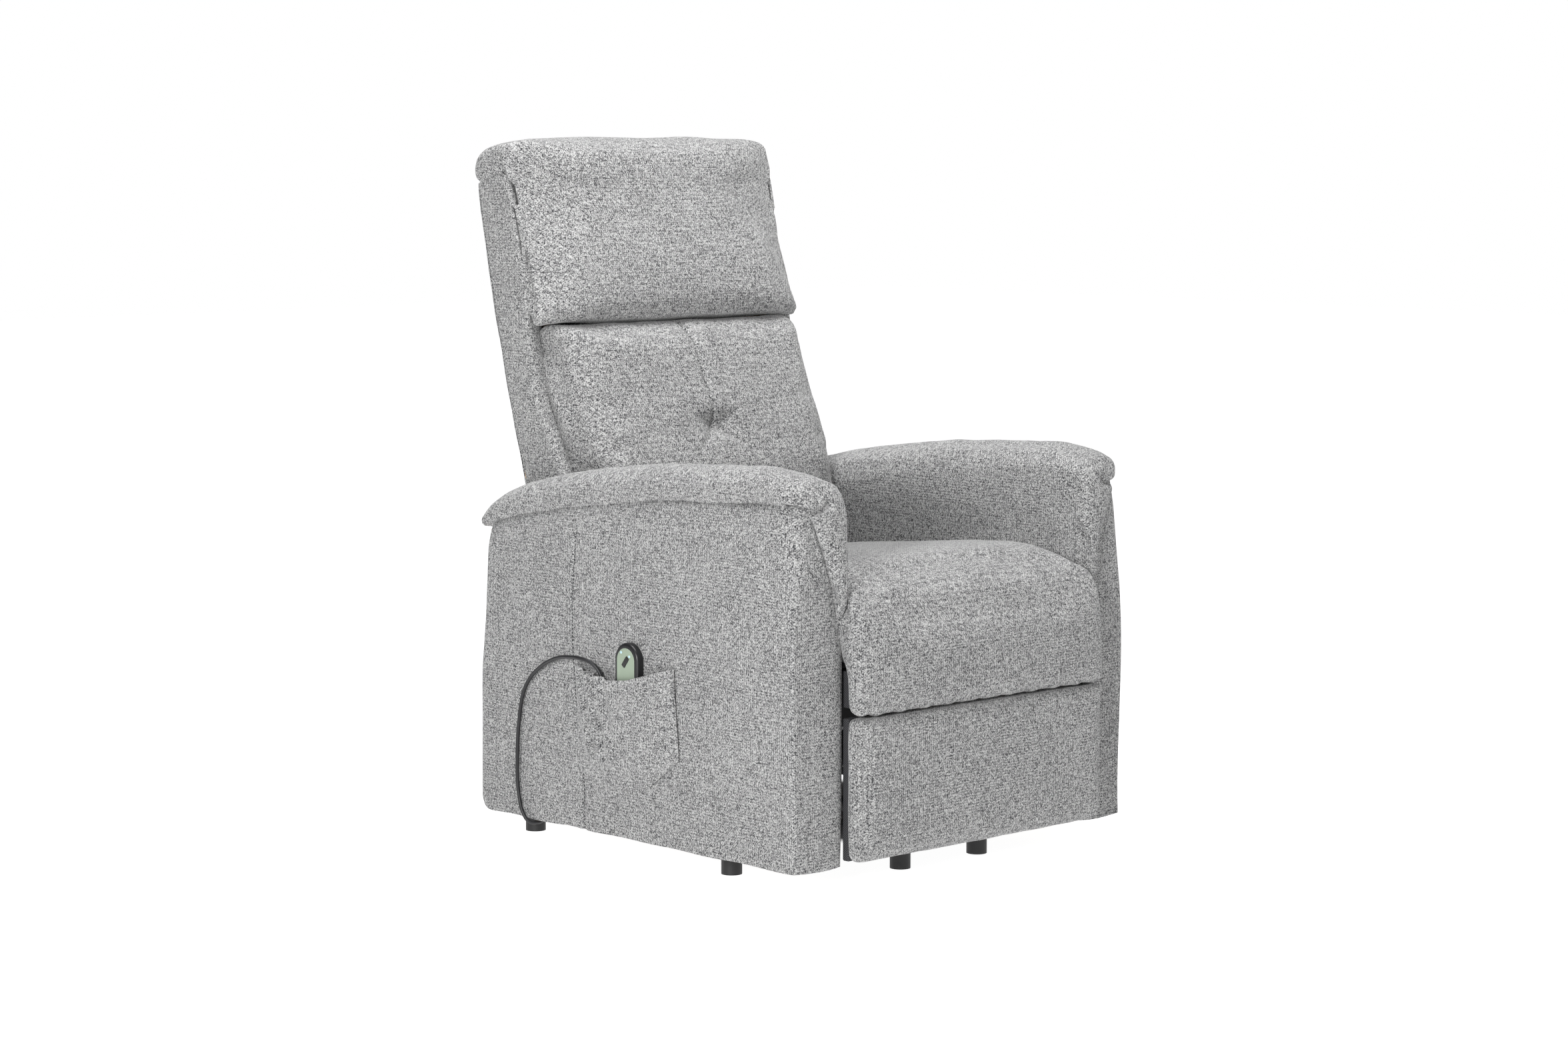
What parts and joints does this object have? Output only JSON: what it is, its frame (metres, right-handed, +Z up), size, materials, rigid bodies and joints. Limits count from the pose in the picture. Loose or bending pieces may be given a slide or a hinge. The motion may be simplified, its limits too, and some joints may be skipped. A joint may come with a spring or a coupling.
{
  "type": "lift recliner armchair",
  "caption": "Upholstered electric lift recliner with padded arms, waterfall seat, reclining back, fold-out footrest, and a corded hand control in its side pocket.",
  "frame": {"origin": "middle of the chair on the floor it stands on", "axes": "front faces -Y, the sitter's right side is -X, +Z up"},
  "size_m": [0.75, 0.888, 1.1018],
  "materials": {
    "fabric": "light and dark grey basket weave, chunky",
    "frame_steel": "black powder coat",
    "pin_steel": "zinc-plated",
    "timber": "sawn plywood",
    "webbing": "elastic webbing",
    "foot_plastic": "moulded black",
    "motor_plastic": "moulded black",
    "handset_shell": "satin black",
    "handset_plate": "sage green membrane",
    "handset_button": "satin black",
    "cord_jacket": "soft black jacket"
  },
  "bodies": {
    "floor_frame": {"floor_rails": "frame_steel", "floor_rear_tube": "frame_steel", "floor_front_tube": "frame_steel", "front_outrigger": "frame_steel", "lift_brackets": "frame_steel", "lift_pivot_pins": "pin_steel", "glide_feet": "foot_plastic", "actuator_mount": "frame_steel"},
    "lift_linkage": {"lift_links": "frame_steel", "lift_torque_tube": "frame_steel", "actuator_lug": "frame_steel"},
    "carriage": {"mechanism_plate_right": "frame_steel", "mechanism_plate_left": "frame_steel", "carriage_tubes": "frame_steel", "carriage_pins": "pin_steel", "seat_side_rails": "timber", "seat_cross_rails": "timber", "seat_webbing": "webbing", "seat_cushion": "fabric", "arm_posts": "timber", "arm_rails": "timber", "arm_side_panels": "fabric", "arm_front_panels": "fabric", "arm_inner_panels": "fabric", "arm_rear_panels": "fabric", "arm_pad_right": "fabric", "arm_pad_left": "fabric", "arm_scrolls": "fabric", "arm_hangers": "frame_steel", "rear_valance": "fabric", "side_pocket": "fabric", "handset_body": "handset_shell", "handset_face": "handset_plate", "cord_relief": "cord_jacket", "handset_cord": "cord_jacket", "cord_plug": "cord_jacket", "control_box": "motor_plastic"},
    "guide_linkage": {"guide_links": "frame_steel"},
    "actuator": {"actuator_housing": "motor_plastic", "actuator_motor": "motor_plastic"},
    "actuator_piston": {"actuator_rod": "pin_steel"},
    "back": {"recline_brackets": "frame_steel", "back_posts": "timber", "back_rails": "timber", "back_webbing": "webbing", "back_rear_panel": "fabric", "back_side_panels": "fabric", "back_cushion": "fabric", "headrest_pillow": "fabric"},
    "fold_upper": {"fold_links_upper": "frame_steel", "fold_tie_tube": "frame_steel"},
    "fold_lower": {"fold_links_lower": "frame_steel"},
    "knee": {"knee_plates": "frame_steel", "knee_pins": "pin_steel"},
    "fold_front": {"fold_links_front": "frame_steel"},
    "footrest": {"footrest_brackets": "frame_steel", "footrest_board": "timber", "footrest_pad": "fabric"},
    "rocker": {"handset_rocker": "handset_button"}
  },
  "joints": [
    {"name": "lift", "type": "hinge", "parent": "floor_frame", "child": "lift_linkage", "pos_m": [0, -0.27, 0.08], "axis": [1, 0, 0], "range_deg": [0, 45]},
    {"name": "carriage_tilt", "type": "hinge", "parent": "lift_linkage", "child": "carriage", "pos_m": [0, 0.1, 0.12], "axis": [1, 0, 0], "range_deg": [-15, 0]},
    {"name": "guide_turn", "type": "hinge", "parent": "floor_frame", "child": "guide_linkage", "pos_m": [0, -0.308, 0.081], "axis": [1, 0, 0], "range_deg": [0, 55]},
    {"name": "actuator_tail", "type": "hinge", "parent": "floor_frame", "child": "actuator", "pos_m": [0, 0.258, 0.076], "axis": [1, 0, 0], "range_deg": [-2, 2]},
    {"name": "actuator_stroke", "type": "slide", "parent": "actuator", "child": "actuator_piston", "axis": [0, -0.9912, 0.1324], "range_m": [0, 0.06]},
    {"name": "recline", "type": "hinge", "parent": "carriage", "child": "back", "pos_m": [0, 0.24, 0.4], "axis": [-1, 0, 0], "range_deg": [0, 35]},
    {"name": "footrest_fold", "type": "hinge", "parent": "carriage", "child": "fold_upper", "pos_m": [0, -0.318, 0.272], "axis": [-1, 0, 0], "range_deg": [0, 65]},
    {"name": "lower_link_turn", "type": "hinge", "parent": "carriage", "child": "fold_lower", "pos_m": [0, -0.292, 0.25], "axis": [-1, 0, 0], "range_deg": [0, 65]},
    {"name": "knee_turn", "type": "hinge", "parent": "fold_upper", "child": "knee", "pos_m": [0, -0.33, 0.08], "axis": [1, 0, 0], "range_deg": [0, 65]},
    {"name": "front_link_turn", "type": "hinge", "parent": "fold_upper", "child": "fold_front", "pos_m": [0, -0.33, 0.08], "axis": [1, 0, 0], "range_deg": [0, 105]},
    {"name": "footrest_turn", "type": "hinge", "parent": "fold_front", "child": "footrest", "pos_m": [0, -0.376, 0.222], "axis": [-1, 0, 0], "range_deg": [0, 128]},
    {"name": "rocker_press", "type": "hinge", "parent": "carriage", "child": "rocker", "pos_m": [-0.3685, -0.037, 0.313], "axis": [0, 1, 0], "range_deg": [-4, 4], "stiffness_Nm_per_rad": 0.2}
  ],
  "couplings": [
    {"joint": "carriage_tilt", "follows": "lift", "ratio": -0.33333},
    {"joint": "guide_turn", "follows": "lift", "ratio": 1.2033},
    {"joint": "actuator_tail", "follows": "lift", "ratio": -0.00522},
    {"joint": "actuator_stroke", "follows": "lift", "m_per_rad": 0.06991},
    {"joint": "lower_link_turn", "follows": "footrest_fold", "ratio": 1},
    {"joint": "knee_turn", "follows": "footrest_fold", "ratio": 1},
    {"joint": "front_link_turn", "follows": "footrest_fold", "ratio": 1.6154},
    {"joint": "footrest_turn", "follows": "footrest_fold", "ratio": 1.9692}
  ]
}
